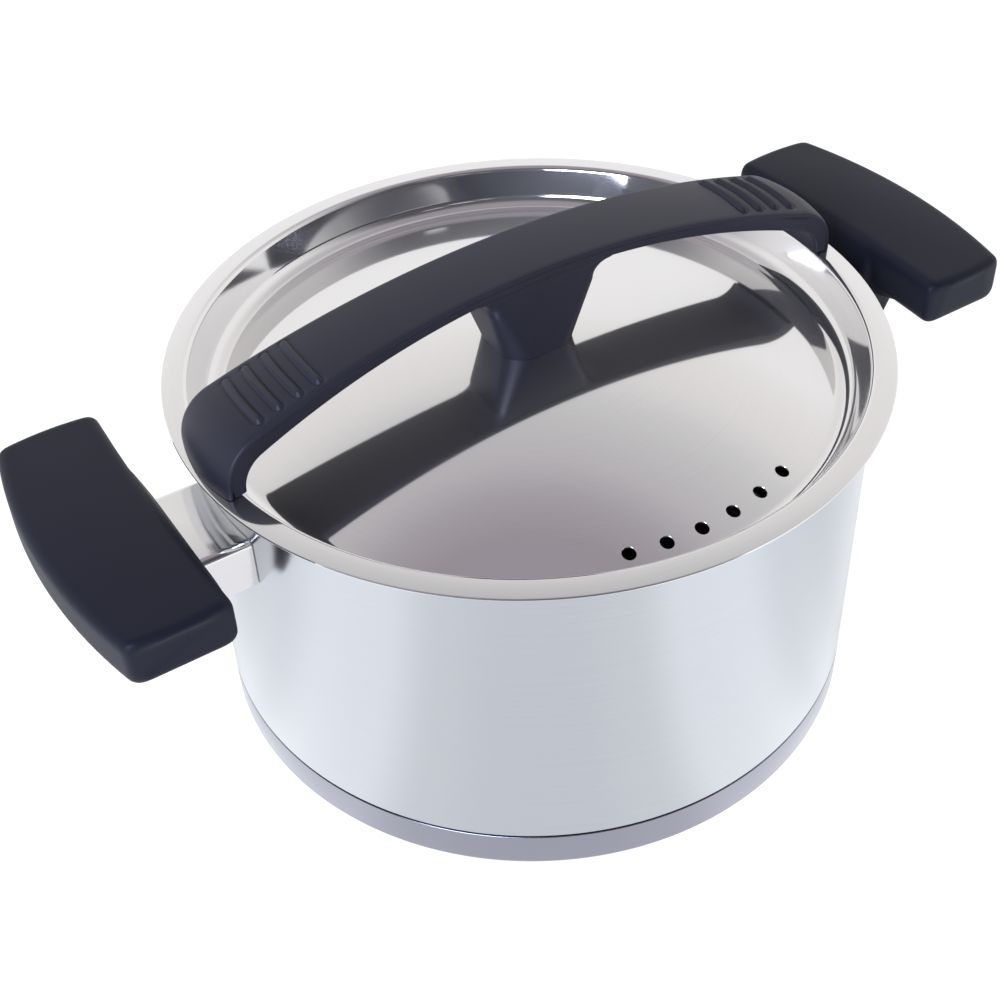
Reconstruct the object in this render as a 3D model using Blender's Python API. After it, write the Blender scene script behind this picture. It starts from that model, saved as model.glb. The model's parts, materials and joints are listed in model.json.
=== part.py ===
"""Lidded steel casserole: pot on a capsule base, strainer lid with a strap handle, two side grips.

The origin is the middle of the base, +Z is up and the two side grips lie on the X axis.
All sizes below are in millimetres; meshes are made in metres.
"""

import math

import bmesh
import bpy
from mathutils import Vector

MM = 0.001
GAP = 0.3                    # clearance kept between pieces that touch

# Pot
POT_RADIUS = 120.9           # outside of the wall
RIM_HEIGHT = 137.8           # top of the pouring rim above the base
POT_WALL = 1.0
RIM_REACH = 3.2              # how far the pouring rim flares past the wall
RIM_RISE = 5.5               # height over which it flares
FLOOR_CORNER = 8.0           # outside radius between wall and floor

# Capsule base
CAPSULE_HEIGHT = 15.5
CAPSULE_WALL = 0.8
CAPSULE_CORNER = 2.5
CORE_THICKNESS = 6.0
CORE_INSET = 8.8             # core edge inside the capsule's outer wall

# Lid
LID_OVERHANG = 6.6           # outer edge past the pot's wall
LID_SHEET = 1.0
LID_DOME_RISE = 3.6          # middle of the dome above the lid's outer edge
LID_TROUGH_DEPTH = 14.5      # corner between the dome and the recessed wall, below that edge
LID_TROUGH_INSET = 8.1       # that corner inside the pot's outer face
LID_TROUGH_ROUND = 6.0
LID_EDGE_RISE = 0.7          # lid's outer edge above the rim it covers
LID_SHOULDER_INSET = 1.9     # corner between the recessed wall and the flange
LID_SHOULDER_RISE = 1.4
LID_SHOULDER_ROUND = 2.5

# Strainer holes
HOLE_COUNT = 6
HOLE_DIAMETER = 4.8
HOLE_INSET = 10.8            # hole circle inside the trough's corner
HOLE_PITCH_DEG = 7.3
HOLE_MIDDLE_DEG = -87.3

# Strap handle across the lid
STRAP_DROP = 16.7            # fall of the arch from its crest to its end rounds
STRAP_END_ROUND = 18.0
STRAP_STRAIGHT = 2.1         # straight end face below the round
STRAP_RIM_INSET = 1.5        # end face inside the lid's edge
STRAP_MIDDLE_DEPTH = 4.75    # depth of the section at the crest
STRAP_UNDER_ROUND = 11.0
STRAP_UNDER_STRAIGHT = 0.5
STRAP_END_DEPTH = 8.0
STRAP_HALF_WIDTH = 14.0      # at the crest
STRAP_WIDENING = 3.8         # extra half width at the ends
STRAP_COVER_DEPTH = 2.9
STRAP_SKIN = 1.2
STRAP_SIDE_SKIN = 2.0
RIB_END_INSET = 18.1         # last rib from the strap's end
RIB_PITCH = 7.3
RIB_COUNT = 4
RIB_HALF_LENGTH = 13.4
RIB_WIDTH = 3.0
RIB_HEIGHT = 0.9
COVER_CROWN = 0.5            # crown of the cover's top at the crest
COVER_END_CROWN = 0.9        # extra crown at the ends
COVER_ROUND = 1.1
STRAP_EDGE = 0.8             # chamfer along the underside

# Post under the strap
POST_HALF_LENGTH = 14.0      # along X at the lid
POST_TOP_HALF_LENGTH = 21.0
POST_FLARE_RISE = 7.0        # height of the fillet that spreads the post into the strap
POST_FLARE_REACH = 9.0       # how far that fillet spreads at each end
POST_SIDE_INSET = 0.4        # post face inside the strap's side
POST_SINK = 0.1              # the post's top inside the strap's skin
POST_CORNER = 9.0            # plan corner at the lid
POST_TOP_CORNER = 5.0        # plan corner under the strap
INSERT_RADIUS = 4.5
INSERT_LENGTH = 12.0
LID_SCREW_RADIUS = 2.0
LID_SCREW_HEAD_RADIUS = 4.6
LID_SCREW_HEAD_HEIGHT = 2.6
LID_WASHER_RADIUS = 12.0
LID_WASHER_THICKNESS = 1.2

# Brackets on the pot wall
BRACKET_DROP = 16.8          # top of the bracket below the rim
BRACKET_HEIGHT = 19.0
BRACKET_HALF_WIDTH = 19.5
BRACKET_SHEET = 2.0
BRACKET_ROUND = 2.6
BRACKET_REACH = 26.0         # free end past the pot wall

# Side grips
GRIP_STAND_OFF = 20.6        # pot wall to the bar's inner face
GRIP_INNER_BOW = 1.5         # how far its ends reach in towards the pot
GRIP_DEPTH = 33.8            # inner face to outer corner
GRIP_BULGE = 7.3             # outer face crown
GRIP_HALF_LENGTH = 55.0
GRIP_END_BOW = 1.5           # end face crown
GRIP_DROP = 1.9              # bar's top edge below the rim
GRIP_THICKNESS = 17.5
GRIP_CROWN = 1.5
GRIP_ROUND = 3.6
GRIP_END_ROUND = 2.5
NECK_SKIN = 3.0              # plastic around the bracket
NECK_FLOOR = 4.2
NECK_STAND_OFF = 9.6         # pot wall to the foot of the neck's leaning face
NECK_END_WALL = 2.6          # plastic behind the bracket's pocket
NECK_BACK_SLOPE = 10.5       # how far the neck's back slopes outwards up to the bar
NECK_FACE_CURVE = 6          # how late the leaning face turns back to the bar
NECK_FILLET = 13.0           # spread of the fillets beside the neck
NECK_FILLET_RISE = 5.0       # height over which they grow below the bar
NECK_CORNER = 2.0
POCKET_END_CLEARANCE = 1.0

# Grip screws
BOSS_RADIUS = 5.0
GRIP_SCREW_RADIUS = 2.0
GRIP_SCREW_HEAD_RADIUS = 4.0
GRIP_SCREW_HEAD_HEIGHT = 2.4
GRIP_WASHER_RADIUS = 4.8
GRIP_WASHER_THICKNESS = 0.8
SOCKET_SHARE = 0.6           # depth of a screw's socket in its head
GRIP_SCREW_BACK = 6.8        # screw axis behind the bracket's free end

RING_STEPS = 72
SMALL_STEPS = 20
SMOOTH_ANGLE = math.radians(32)

# Levels and radii that follow from the sizes above
CAPSULE_FLOOR = CAPSULE_WALL
CORE_BOTTOM = CAPSULE_FLOOR + GAP
FLOOR_UNDERSIDE = CORE_BOTTOM + CORE_THICKNESS + GAP
LAP_RADIUS = POT_RADIUS - CAPSULE_WALL - GAP
LEDGE_HEIGHT = CAPSULE_HEIGHT + GAP
LID_LEVEL = RIM_HEIGHT + LID_EDGE_RISE
LID_RADIUS = POT_RADIUS + LID_OVERHANG
LID_TROUGH_RADIUS = POT_RADIUS - LID_TROUGH_INSET
LID_SHOULDER_RADIUS = POT_RADIUS - LID_SHOULDER_INSET
LID_DOME_SAG = LID_DOME_RISE + LID_TROUGH_DEPTH
LID_DOME_RADIUS = (LID_TROUGH_RADIUS ** 2 + LID_DOME_SAG ** 2) / (2 * LID_DOME_SAG)
HOLE_CIRCLE_RADIUS = LID_TROUGH_RADIUS - HOLE_INSET
STRAP_END_X = LID_RADIUS - STRAP_RIM_INSET
STRAP_FOOT = LID_LEVEL + LID_SHOULDER_RISE + GAP
STRAP_CREST = STRAP_FOOT + STRAP_STRAIGHT + STRAP_END_ROUND + STRAP_DROP
STRAP_UNDER_CREST = STRAP_CREST - STRAP_MIDDLE_DEPTH
STRAP_UNDER_DROP = STRAP_UNDER_CREST - STRAP_UNDER_ROUND - STRAP_UNDER_STRAIGHT - STRAP_FOOT
POST_BOTTOM = LID_LEVEL + LID_DOME_RISE + GAP
STRAP_UNDER_ARC_END = STRAP_END_X - STRAP_END_DEPTH - STRAP_UNDER_ROUND
STRAP_UNDER_RADIUS = (
    (STRAP_UNDER_ARC_END ** 2 + STRAP_UNDER_DROP ** 2) / (2 * STRAP_UNDER_DROP) + STRAP_UNDER_ROUND
)
BRACKET_TOP = RIM_HEIGHT - BRACKET_DROP
BRACKET_BOTTOM = BRACKET_TOP - BRACKET_HEIGHT
BRACKET_END = POT_RADIUS + BRACKET_REACH
POCKET_END = BRACKET_END + POCKET_END_CLEARANCE
SCREW_X = BRACKET_END - GRIP_SCREW_BACK
GRIP_INNER = POT_RADIUS + GRIP_STAND_OFF
GRIP_TOP = RIM_HEIGHT - GRIP_DROP
GRIP_BOTTOM = GRIP_TOP - GRIP_THICKNESS
NECK_HALF_WIDTH = BRACKET_HALF_WIDTH + GAP + NECK_SKIN
NECK_BOTTOM = BRACKET_BOTTOM - GAP - NECK_FLOOR
NECK_TOP = GRIP_TOP - GRIP_ROUND / 2
NECK_FACE = POT_RADIUS + NECK_STAND_OFF
NECK_BACK = POCKET_END + NECK_END_WALL


def clear_scene():
    for obj in list(bpy.data.objects):
        bpy.data.objects.remove(obj, do_unlink=True)


def make_material(name, color, roughness, metallic):
    material = bpy.data.materials.new(name)
    material.use_nodes = True
    shader = material.node_tree.nodes["Principled BSDF"]
    shader.inputs["Base Color"].default_value = (*color, 1.0)
    shader.inputs["Roughness"].default_value = roughness
    shader.inputs["Metallic"].default_value = metallic
    material.diffuse_color = (*color, 1.0)
    return material


def finish(name, bm, material):
    """Close a bmesh in millimetres into a named object in metres."""
    bmesh.ops.recalc_face_normals(bm, faces=bm.faces)
    bmesh.ops.scale(bm, vec=(MM, MM, MM), verts=bm.verts)
    mesh = bpy.data.meshes.new(name)
    bm.to_mesh(mesh)
    bm.free()
    if material:
        mesh.materials.append(material)
    mesh.shade_smooth()
    mesh.set_sharp_from_angle(angle=SMOOTH_ANGLE)
    obj = bpy.data.objects.new(name, mesh)
    bpy.context.collection.objects.link(obj)
    return obj


def turned(name, profile, material, steps=RING_STEPS, centre=(0.0, 0.0)):
    """Turn a closed (radius, z) outline about a vertical axis; points at radius 0 become poles."""
    bm = bmesh.new()
    rings = []
    for radius, z in profile:
        if radius <= 0.0:
            rings.append([bm.verts.new((centre[0], centre[1], z))])
            continue
        turns = [2 * math.pi * step / steps for step in range(steps)]
        rings.append([
            bm.verts.new((centre[0] + radius * math.cos(a), centre[1] + radius * math.sin(a), z))
            for a in turns
        ])
    for here, there in zip(rings, rings[1:] + rings[:1]):
        if len(here) == 1 and len(there) == 1:
            continue
        for step in range(steps):
            after = (step + 1) % steps
            corners = [here[step % len(here)], here[after % len(here)]]
            corners += [there[after % len(there)], there[step % len(there)]]
            bm.faces.new(list(dict.fromkeys(corners)))
    return finish(name, bm, material)


def loft(name, rings, material):
    """Skin a row of rings that have equal point counts and cap both ends."""
    bm = bmesh.new()
    rows = [[bm.verts.new(point) for point in ring] for ring in rings]
    for here, there in zip(rows, rows[1:]):
        for index in range(len(here)):
            after = (index + 1) % len(here)
            bm.faces.new((here[index], here[after], there[after], there[index]))
    caps = [bm.faces.new(rows[0]), bm.faces.new(rows[-1])]
    bmesh.ops.triangulate(bm, faces=caps)
    return finish(name, bm, material)


def combine(target, operation, other):
    """Apply a Boolean with an operand that stays hidden in the file."""
    other.hide_render = True
    other.display_type = "WIRE"
    modifier = target.modifiers.new(operation.lower(), "BOOLEAN")
    modifier.operation = operation
    modifier.solver = "EXACT"
    modifier.object = other


def rounded_path(corners, steps=4):
    """Follow (x, y, round) corners, replacing each corner that has a round with an arc."""
    points = []
    for index, (x, y, round_radius) in enumerate(corners):
        here = Vector((x, y))
        if round_radius <= 0.0:
            points.append((x, y))
            continue
        before = Vector(corners[index - 1][:2]) - here
        after = Vector(corners[(index + 1) % len(corners)][:2]) - here
        half_angle = before.angle(after) / 2
        towards = (before.normalized() + after.normalized()).normalized()
        centre = here + towards * (round_radius / math.sin(half_angle))
        setback = round_radius / math.tan(half_angle)
        start = here + before.normalized() * setback - centre
        end = here + after.normalized() * setback - centre
        sweep = start.angle_signed(end)
        for step in range(steps + 1):
            turn = -sweep * step / steps
            c, s = math.cos(turn), math.sin(turn)
            points.append((
                centre.x + start.x * c - start.y * s,
                centre.y + start.x * s + start.y * c,
            ))
    return points


def rounded_rectangle(left, right, bottom, top, round_radius, steps=3):
    corners = [(left, bottom), (right, bottom), (right, top), (left, top)]
    return rounded_path([(x, y, round_radius) for x, y in corners], steps)


def block(name, left, right, back, front, bottom, top):
    ring = [(left, back), (right, back), (right, front), (left, front)]
    return loft(name, [[(x, y, z) for x, y in ring] for z in (bottom, top)], None)


# ---------------------------------------------------------------- pot

def make_pot(steel, satin, aluminium):
    inner = POT_RADIUS - POT_WALL
    lap_inner = LAP_RADIUS - POT_WALL
    floor_inside = FLOOR_UNDERSIDE + POT_WALL
    flare_start = RIM_HEIGHT - RIM_RISE
    joggle_top = LEDGE_HEIGHT + 2 * POT_WALL
    rim_round = RIM_RISE
    outline = rounded_path([
        (0.0, FLOOR_UNDERSIDE, 0.0),
        (LAP_RADIUS, FLOOR_UNDERSIDE, FLOOR_CORNER),
        (LAP_RADIUS, LEDGE_HEIGHT, 0.0),
        (POT_RADIUS, LEDGE_HEIGHT, 0.0),
        (POT_RADIUS, flare_start, rim_round),
        (POT_RADIUS + RIM_REACH, RIM_HEIGHT - POT_WALL, 0.0),
        (POT_RADIUS + RIM_REACH - POT_WALL / 3, RIM_HEIGHT - POT_WALL / 4, 0.0),
        (POT_RADIUS + RIM_REACH - POT_WALL, RIM_HEIGHT, 0.0),
        (inner, flare_start + POT_WALL / 2, rim_round),
        (inner, joggle_top, 0.0),
        (lap_inner, LEDGE_HEIGHT, 0.0),
        (lap_inner, floor_inside, FLOOR_CORNER - POT_WALL),
        (0.0, floor_inside, 0.0),
    ])
    turned("pot_body", outline, steel)

    capsule_inner = POT_RADIUS - CAPSULE_WALL
    outline = rounded_path([
        (0.0, 0.0, 0.0),
        (POT_RADIUS, 0.0, CAPSULE_CORNER),
        (POT_RADIUS, CAPSULE_HEIGHT, 0.0),
        (capsule_inner, CAPSULE_HEIGHT, 0.0),
        (capsule_inner, CAPSULE_FLOOR, CAPSULE_CORNER - CAPSULE_WALL),
        (0.0, CAPSULE_FLOOR, 0.0),
    ])
    turned("base_capsule", outline, satin)

    core_radius = POT_RADIUS - CORE_INSET
    core_top = CORE_BOTTOM + CORE_THICKNESS
    outline = [(0.0, CORE_BOTTOM), (core_radius, CORE_BOTTOM), (core_radius, core_top), (0.0, core_top)]
    turned("base_core", outline, aluminium)


# ---------------------------------------------------------------- lid

def dome_height(radius):
    """Height of the dome's upper face above the lid's outer edge."""
    return LID_DOME_RISE - LID_DOME_RADIUS + math.sqrt(LID_DOME_RADIUS ** 2 - radius ** 2)


def lid_face(offset, bore):
    """Points of the lid's upper face, or of a face `offset` below it, from the bore to the edge."""
    rings = 7
    dome_end = LID_TROUGH_RADIUS - LID_TROUGH_ROUND
    dome = [bore + (dome_end - bore) * ring / rings for ring in range(rings)]
    points = [(radius, dome_height(radius) - offset) for radius in dome]
    outwards = offset * math.sqrt(0.5)
    trough = (LID_TROUGH_RADIUS + outwards, dome_height(LID_TROUGH_RADIUS) - offset)
    shoulder = (LID_SHOULDER_RADIUS + outwards, LID_SHOULDER_RISE - offset)
    corners = [
        (dome_end, dome_height(dome_end) - offset, 0.0),
        (*trough, LID_TROUGH_ROUND - offset),
        (*shoulder, LID_SHOULDER_ROUND + offset),
        (LID_RADIUS - LID_SHEET / 2, -offset, 0.0),
    ]
    return points + rounded_path(corners, 3)


def make_lid(mirror, steel, brass):
    bore = LID_SCREW_RADIUS + GAP
    upper = lid_face(0.0, bore)
    lower = lid_face(LID_SHEET, bore)
    outline = upper + [(LID_RADIUS, -LID_SHEET / 2)] + lower[::-1]
    outline = [(radius, z + LID_LEVEL) for radius, z in outline]
    shell = turned("lid_shell", outline, mirror)

    hole_bottom = LID_LEVEL + dome_height(LID_TROUGH_RADIUS) - 2 * LID_SHEET
    hole_top = LID_LEVEL + LID_DOME_RISE
    hole_radius = HOLE_DIAMETER / 2
    for index in range(HOLE_COUNT):
        angle = math.radians(HOLE_MIDDLE_DEG + (index - (HOLE_COUNT - 1) / 2) * HOLE_PITCH_DEG)
        centre = (HOLE_CIRCLE_RADIUS * math.cos(angle), HOLE_CIRCLE_RADIUS * math.sin(angle))
        outline = [(0.0, hole_bottom), (hole_radius, hole_bottom), (hole_radius, hole_top), (0.0, hole_top)]
        combine(shell, "DIFFERENCE", turned(f"cut_hole_{index}", outline, None, 12, centre))

    seat = LID_LEVEL + dome_height(LID_WASHER_RADIUS) - LID_SHEET - GAP
    washer_bottom = seat - LID_WASHER_THICKNESS
    outline = [
        (bore, washer_bottom), (LID_WASHER_RADIUS, washer_bottom), (LID_WASHER_RADIUS, seat), (bore, seat),
    ]
    turned("lid_washer", outline, steel, 32)

    insert_bottom = POST_BOTTOM + GAP
    head_top = washer_bottom - GAP
    screw("lid_screw", (0.0, 0.0), head_top, insert_bottom + INSERT_LENGTH - GAP, steel,
          LID_SCREW_RADIUS, LID_SCREW_HEAD_RADIUS, LID_SCREW_HEAD_HEIGHT)
    tube("strap_insert", (0.0, 0.0), insert_bottom, insert_bottom + INSERT_LENGTH,
         LID_SCREW_RADIUS + GAP, INSERT_RADIUS, brass)


def screw(name, centre, head_top, tip, material, shank, head, head_height):
    """A screw that points up, with a domed head below `head_top` and a hexagon socket in it."""
    head_bottom = head_top - head_height
    outline = rounded_path([
        (0.0, head_bottom, 0.0),
        (head, head_bottom, head_height / 2),
        (head, head_top, 0.0),
        (shank, head_top, 0.0),
        (shank, tip - shank / 2, 0.0),
        (shank / 2, tip, 0.0),
        (0.0, tip, 0.0),
    ], 2)
    body = turned(name, outline, material, SMALL_STEPS, centre)
    depth = head_bottom + head_height * SOCKET_SHARE
    socket = [(0.0, head_bottom - 1), (shank, head_bottom - 1), (shank, depth), (0.0, depth)]
    combine(body, "DIFFERENCE", turned("cut_socket_" + name, socket, None, 6, centre))


def tube(name, centre, bottom, top, bore, outside, material, steps=SMALL_STEPS):
    outline = [(bore, bottom), (outside, bottom), (outside, top), (bore, top)]
    return turned(name, outline, material, steps, centre)


# ---------------------------------------------------------------- strap handle

def arch_side(crest, drop, round_radius, end_x, arch_steps, round_steps):
    """Half of an arch in the XZ plane: a wide arc that falls by `drop`, a round and a short foot."""
    round_x = end_x - round_radius
    inside_radius = (round_x ** 2 + drop ** 2) / (2 * drop)
    radius = inside_radius + round_radius
    middle = crest - radius
    round_z = crest - round_radius - drop
    last = math.asin(round_x / inside_radius)
    points = []
    for share in arch_steps:
        turn = last * share
        points.append((radius * math.sin(turn), middle + radius * math.cos(turn)))
    for step in range(1, round_steps + 1):
        turn = last + (math.pi / 2 - last) * step / round_steps
        points.append((round_x + round_radius * math.sin(turn), round_z + round_radius * math.cos(turn)))
    points.append((end_x, STRAP_FOOT))
    return points


def strap_half_width(x):
    return STRAP_HALF_WIDTH + STRAP_WIDENING * (x / STRAP_END_X) ** 2


def strap_stations(arch_steps):
    """Pairs of outer and inner points along the strap, from the -X end to the +X end."""
    steps = 6
    outer = arch_side(STRAP_CREST, STRAP_DROP, STRAP_END_ROUND, STRAP_END_X, arch_steps, steps)
    inner = arch_side(STRAP_UNDER_CREST, STRAP_UNDER_DROP, STRAP_UNDER_ROUND,
                      STRAP_END_X - STRAP_END_DEPTH, arch_steps, steps)
    pairs = list(zip(outer, inner))
    mirrored = [((-a[0], a[1]), (-b[0], b[1])) for a, b in pairs[:0:-1]]
    return mirrored + pairs


def strap_ring(pair, section):
    """Place a section, given as (y, depth above the inner face), at one station of the strap."""
    outer, inner = Vector(pair[0]), Vector(pair[1])
    up = (outer - inner).normalized()
    ring = []
    for y, depth in section:
        at = inner + up * depth
        curve = math.sqrt(1 - (y / STRAP_END_X) ** 2)
        ring.append((at.x * curve, y, at.y))
    return ring


def rib_places():
    return [STRAP_END_X - RIB_END_INSET - RIB_PITCH * index for index in range(RIB_COUNT)]


def rib_lift(x):
    """Height that a rib adds to the strap's top at `x`."""
    for place in rib_places():
        away = abs(abs(x) - place) / (RIB_WIDTH / 2)
        if away < 1:
            return RIB_HEIGHT * math.sqrt(1 - away ** 2)
    return 0.0


def rib_steps():
    """Shares of the arch's sweep where the cover has a station, dense across the ribs."""
    round_x = STRAP_END_X - STRAP_END_ROUND
    inside_radius = (round_x ** 2 + STRAP_DROP ** 2) / (2 * STRAP_DROP)
    radius = inside_radius + STRAP_END_ROUND
    last = math.asin(round_x / inside_radius)
    stretch = radius * math.sin(last)
    plain = 6
    ribs = sorted(rib_places())
    before_ribs = ribs[0] - RIB_WIDTH
    stations = [before_ribs * step / plain for step in range(plain + 1)]
    for place in ribs:
        stations += [place + RIB_WIDTH / 2 * side for side in (-1.01, -0.6, 0.0, 0.6, 1.01)]
    return [math.asin(x / radius) / last for x in stations if x < stretch] + [1.0]


def make_strap(plastic):
    arch_steps = [step / 10 for step in range(11)]
    rings = []
    for pair in strap_stations(arch_steps):
        half = strap_half_width(pair[0][0])
        depth = (Vector(pair[0]) - Vector(pair[1])).length
        seam = depth - STRAP_COVER_DEPTH - GAP / 2
        side = STRAP_SIDE_SKIN
        edge = STRAP_EDGE
        section = [
            (-half, seam), (-half, edge), (-half + edge, 0.0), (half - edge, 0.0), (half, edge),
            (half, seam), (half - side, seam), (half - side, STRAP_SKIN),
            (-half + side, STRAP_SKIN), (-half + side, seam),
        ]
        rings.append(strap_ring(pair, section))
    body = loft("strap_body", rings, plastic)

    combine(body, "UNION", make_post())
    bore_top = POST_BOTTOM + GAP + INSERT_LENGTH + GAP
    bore_bottom = POST_BOTTOM - 1
    radius = INSERT_RADIUS + GAP
    outline = [(0.0, bore_bottom), (radius, bore_bottom), (radius, bore_top), (0.0, bore_top)]
    combine(body, "DIFFERENCE", turned("cut_insert", outline, None, SMALL_STEPS))

    rings = []
    for pair in strap_stations(rib_steps()):
        x = pair[0][0]
        half = strap_half_width(x)
        depth = (Vector(pair[0]) - Vector(pair[1])).length
        bottom = depth - STRAP_COVER_DEPTH + GAP / 2
        crown = COVER_CROWN + COVER_END_CROWN * (x / STRAP_END_X) ** 2
        section = [(half - STRAP_SIDE_SKIN, bottom), (half, bottom)]
        for turn in (0.0, 30.0, 60.0, 90.0):
            away = half - COVER_ROUND * (1 - math.cos(math.radians(turn)))
            drop = COVER_ROUND * (1 - math.sin(math.radians(turn)))
            section.append((away, depth - crown - drop))
        section.append((RIB_HALF_LENGTH, depth - crown * (RIB_HALF_LENGTH / half) ** 2))
        rib_end = RIB_HALF_LENGTH - RIB_HEIGHT
        for y in (rib_end, rib_end / 2, 0.0):
            section.append((y, depth - crown * (y / half) ** 2 + rib_lift(x)))
        section += [(-y, z) for y, z in section[-2::-1]]
        rings.append(strap_ring(pair, section))
    loft("strap_cover", rings, plastic)


def make_post():
    """Post from the lid's dome up into the strap, spreading at its top."""
    top_half_length = POST_TOP_HALF_LENGTH + POST_FLARE_REACH
    top = STRAP_UNDER_CREST - top_half_length ** 2 / (2 * STRAP_UNDER_RADIUS)
    flare_bottom = top - POST_FLARE_RISE
    levels = [(POST_BOTTOM, POST_HALF_LENGTH, POST_CORNER)]
    for turn in (0, 30, 60, 90):
        rise = math.sin(math.radians(turn))
        spread = 1 - math.cos(math.radians(turn))
        half_length = POST_TOP_HALF_LENGTH + POST_FLARE_REACH * spread
        levels.append((flare_bottom + POST_FLARE_RISE * rise, half_length, POST_TOP_CORNER))
    levels.append((STRAP_UNDER_CREST + POST_SINK, top_half_length, POST_TOP_CORNER))
    half_width = STRAP_HALF_WIDTH - POST_SIDE_INSET
    rings = []
    for z, half_length, corner in levels:
        ring = rounded_rectangle(-half_length, half_length, -half_width, half_width, corner, 4)
        rings.append([(x, y, z) for x, y in ring])
    return loft("add_post", rings, None)


# ---------------------------------------------------------------- brackets and grips

def make_bracket(prefix, side, steel):
    """Folded channel welded to the pot wall, with its free end inside the grip's neck."""
    bottom = BRACKET_BOTTOM
    half = BRACKET_HALF_WIDTH
    inside = half - BRACKET_SHEET
    outline = rounded_path([
        (-half, bottom, 0.0),
        (-half, BRACKET_TOP, BRACKET_ROUND),
        (half, BRACKET_TOP, BRACKET_ROUND),
        (half, bottom, 0.0),
        (inside, bottom, 0.0),
        (inside, BRACKET_TOP - BRACKET_SHEET, BRACKET_ROUND - BRACKET_SHEET),
        (-inside, BRACKET_TOP - BRACKET_SHEET, BRACKET_ROUND - BRACKET_SHEET),
        (-inside, bottom, 0.0),
    ], 4)
    inside_wall = POT_RADIUS - half
    rings = [[(side * x, y, z) for y, z in outline] for x in (inside_wall, BRACKET_END)]
    bracket = loft(prefix + "_bracket", rings, steel)
    weld_radius = POT_RADIUS + GAP
    low, high = bottom - 1, BRACKET_TOP + 1
    cut = [(0.0, low), (weld_radius, low), (weld_radius, high), (0.0, high)]
    combine(bracket, "DIFFERENCE", turned("cut_wall_" + prefix, cut, None))


def grip_section(y):
    """Outline of the bar in (distance from the axis, z) at one place along it."""
    reach = min(1.0, abs(y) / GRIP_HALF_LENGTH)
    bulge = 1 - reach ** 2
    past = max(0.0, abs(y) - GRIP_HALF_LENGTH + GRIP_END_ROUND) / GRIP_END_ROUND
    shrink = GRIP_END_ROUND * (1 - math.sqrt(max(0.0, 1 - past ** 2)))
    left = GRIP_INNER - GRIP_INNER_BOW * reach ** 2 + shrink
    right = GRIP_INNER + GRIP_DEPTH + GRIP_BULGE * bulge - shrink
    low = GRIP_BOTTOM + shrink
    high = GRIP_TOP - shrink
    steps = 4
    outline = rounded_rectangle(left, right, low, high, GRIP_ROUND, steps)
    top_right = 3 * (steps + 1)
    flat = right - left - 2 * GRIP_ROUND
    top_row = [(left + GRIP_ROUND + flat * share, high) for share in (0.75, 0.5, 0.25)]
    ring = []
    for x, z in outline[:top_right] + top_row + outline[top_right:]:
        away = (2 * x - left - right) / (right - left)
        share = (z - low) / (high - low)
        ring.append((x, z + GRIP_CROWN * bulge * share * (1 - away ** 2), 1 - away ** 2))
    return ring


def make_grip(prefix, side, plastic):
    flat = GRIP_HALF_LENGTH - GRIP_END_ROUND
    inner_steps = [flat * step / 7 for step in range(8)]
    end_steps = [flat + GRIP_END_ROUND * share for share in (0.5, 0.8, 0.95, 1.0)]
    half_stations = inner_steps + end_steps
    stations = [-y for y in half_stations[:0:-1]] + half_stations
    rings = []
    for y in stations:
        bow = GRIP_END_BOW * (y / GRIP_HALF_LENGTH) ** 3
        rings.append([(side * x, y + bow * crown, z) for x, z, crown in grip_section(y)])
    grip = loft(prefix + "_grip", rings, plastic)

    combine(grip, "UNION", make_neck(prefix, side))
    pocket_half = BRACKET_HALF_WIDTH + GAP
    ends = sorted((side * POT_RADIUS, side * POCKET_END))
    pocket = block("cut_pocket_" + prefix, *ends, -pocket_half, pocket_half,
                   BRACKET_BOTTOM - GAP, BRACKET_TOP + GAP)
    combine(grip, "DIFFERENCE", pocket)
    seat = NECK_BOTTOM + GRIP_SCREW_HEAD_HEIGHT + GRIP_WASHER_THICKNESS + 2 * GAP
    below = NECK_BOTTOM - 1
    outline = [
        (0.0, below),
        (GRIP_WASHER_RADIUS + GAP, below),
        (GRIP_WASHER_RADIUS + GAP, seat),
        (GRIP_SCREW_RADIUS + GAP, seat),
        (GRIP_SCREW_RADIUS + GAP, BRACKET_BOTTOM),
        (0.0, BRACKET_BOTTOM),
    ]
    cut = turned("cut_screw_" + prefix, outline, None, SMALL_STEPS, (side * SCREW_X, 0.0))
    combine(grip, "DIFFERENCE", cut)
    return seat


def neck_ring(z):
    """Half of the neck's plan at one level, from the middle of its face to its back: (x, y) points."""
    half = NECK_HALF_WIDTH
    lean = (z - NECK_BOTTOM) / (NECK_TOP - NECK_BOTTOM)
    face = NECK_FACE + (GRIP_INNER - NECK_FACE) * lean ** NECK_FACE_CURVE
    rise = min(1.0, (z - NECK_BOTTOM) / (GRIP_BOTTOM - NECK_BOTTOM))
    growth = min(1.0, max(0.0, (z - GRIP_BOTTOM) / NECK_FILLET_RISE + 1))
    spread = NECK_FILLET * growth
    start = face + NECK_CORNER
    end = max(GRIP_INNER, start) + GRIP_ROUND / 2
    points = [(face, half - NECK_CORNER), (face + NECK_CORNER / 3, half - NECK_CORNER / 3)]
    for turn in (0, 25, 45, 65, 90):
        angle = math.radians(turn)
        points.append((start + (end - start) * math.sin(angle), half + spread * (1 - math.cos(angle))))
    points.append((NECK_BACK + NECK_BACK_SLOPE * rise, half + spread))
    return points


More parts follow.
